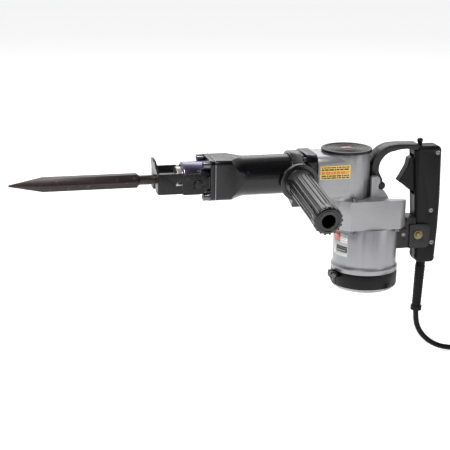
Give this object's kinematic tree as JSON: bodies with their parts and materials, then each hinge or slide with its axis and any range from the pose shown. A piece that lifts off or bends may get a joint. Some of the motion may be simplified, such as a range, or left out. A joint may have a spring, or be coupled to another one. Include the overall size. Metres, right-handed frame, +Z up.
{
  "type": "electric demolition hammer",
  "caption": "Electric demolition hammer with a bull-point chisel in a stirrup retainer, crank-driven barrel, upright motor, side handle, pistol grip, trigger and cord.",
  "frame": {"origin": "middle of the rear grip, where the tool is held", "axes": "+X from the chisel's tip towards the rear grip along the chisel's axis, +Z up, the side handle points to -Y"},
  "size_m": [0.9087, 0.2502, 0.371],
  "materials": {
    "bit_steel": "forged, dark",
    "bright_steel": "turned and zinc plated",
    "black_casting": "satin black enamel",
    "grey_casting": "bead-blasted aluminium, light grey",
    "silver_casting": "satin silver",
    "black_rubber": "matte",
    "black_plastic": "fine grained",
    "laminations": "laminated steel with copper windings",
    "copper": "bright"
  },
  "bodies": {
    "root": {"nose_sleeve": "bright_steel", "tool_bushing": "bright_steel", "front_cover": "black_casting", "front_cover_bolts": "bright_steel", "retainer_pivots": "bright_steel", "damper_ring": "black_rubber", "barrel": "black_casting", "barrel_bolts": "bright_steel", "cylinder_liner": "bright_steel", "impact_bolt_guide": "bright_steel", "crank_housing": "grey_casting", "crank_cap": "black_casting", "cap_seal": "black_rubber", "crank_bearings": "bright_steel", "gear_housing": "grey_casting", "gear_housing_screws": "bright_steel", "motor_housing": "silver_casting", "motor_band": "black_rubber", "band_screw": "bright_steel", "motor_end_cover": "silver_casting", "end_cover_screws": "bright_steel", "stator": "laminations", "brush_holders": "black_plastic", "carbon_brushes": "copper", "motor_bearings": "bright_steel", "handle_arch": "black_casting", "arch_bolt": "bright_steel", "grip_left": "black_plastic", "grip_right": "black_plastic", "grip_screws": "bright_steel", "lower_bracket": "black_casting", "bracket_screws": "bright_steel", "damper_bolt": "bright_steel", "damper_bush": "black_rubber", "switch_body": "black_plastic", "cord_guard": "black_rubber", "power_cord": "black_rubber", "cord_coil": "black_rubber", "coil_tie": "black_plastic", "mains_plug": "black_rubber", "plug_pins": "copper"},
    "side_handle": {"side_handle_clamp": "black_casting", "clamp_stud": "bright_steel"},
    "side_grip": {"side_grip": "black_rubber", "grip_flange": "black_rubber"},
    "bit": {"bull_point": "bit_steel"},
    "retainer": {"tool_retainer": "bright_steel"},
    "trigger": {"trigger": "black_plastic"},
    "lock": {"lock_button": "black_plastic"},
    "armature": {"armature_shaft": "bright_steel", "armature_core": "laminations", "commutator": "copper", "cooling_fan": "black_plastic"},
    "crank": {"crankshaft": "bright_steel", "crank_gear": "bright_steel"},
    "rod": {"connecting_rod": "bright_steel", "wrist_pin": "bright_steel"},
    "piston": {"piston": "bright_steel"},
    "striker": {"striker": "bright_steel"},
    "impact": {"impact_bolt": "bright_steel"}
  },
  "joints": [
    {"name": "bit_slide", "type": "slide", "parent": "root", "child": "bit", "axis": [1, 0, 0], "range_m": [0, 0.008]},
    {"name": "impact_bolt_slide", "type": "slide", "parent": "root", "child": "impact", "axis": [1, 0, 0], "range_m": [0, 0.008]},
    {"name": "retainer_swing", "type": "hinge", "parent": "root", "child": "retainer", "pos_m": [-0.388, 0, 0.058], "axis": [0, 1, 0], "range_deg": [0, 55]},
    {"name": "side_handle_turn", "type": "hinge", "parent": "root", "child": "side_handle", "pos_m": [-0.2275, 0, 0.061], "axis": [1, 0, 0], "range_deg": [-15, 0]},
    {"name": "side_grip_turn", "type": "hinge", "parent": "side_handle", "child": "side_grip", "pos_m": [-0.2275, 0, 0.061], "axis": [0, -0.9903, -0.1392], "continuous": true},
    {"name": "trigger_pull", "type": "hinge", "parent": "root", "child": "trigger", "pos_m": [-0.017, 0, 0.075], "axis": [0, -1, 0], "range_deg": [0, 11], "stiffness_Nm_per_rad": 0.6},
    {"name": "lock_button_press", "type": "slide", "parent": "root", "child": "lock", "axis": [0, 0, -1], "range_m": [0, 0.003], "stiffness_N_per_m": 400},
    {"name": "armature_spin", "type": "hinge", "parent": "root", "child": "armature", "pos_m": [-0.1005, 0, -0.039], "axis": [0, 0, 1], "continuous": true},
    {"name": "crank_spin", "type": "hinge", "parent": "root", "child": "crank", "pos_m": [-0.138, 0, 0.021], "axis": [0, 0, 1], "continuous": true},
    {"name": "rod_swing", "type": "hinge", "parent": "crank", "child": "rod", "pos_m": [-0.147, 0, 0.061], "axis": [0, 0, 1], "continuous": true},
    {"name": "piston_slide", "type": "slide", "parent": "root", "child": "piston", "axis": [1, 0, 0], "range_m": [0, 0.018]},
    {"name": "striker_slide", "type": "slide", "parent": "root", "child": "striker", "axis": [1, 0, 0], "range_m": [0, 0.012]}
  ],
  "couplings": [
    {"joint": "crank_spin", "follows": "armature_spin", "ratio": -0.19048},
    {"joint": "rod_swing", "follows": "armature_spin", "ratio": 0.19048},
    {"joint": "impact_bolt_slide", "follows": "bit_slide", "ratio": 1}
  ]
}
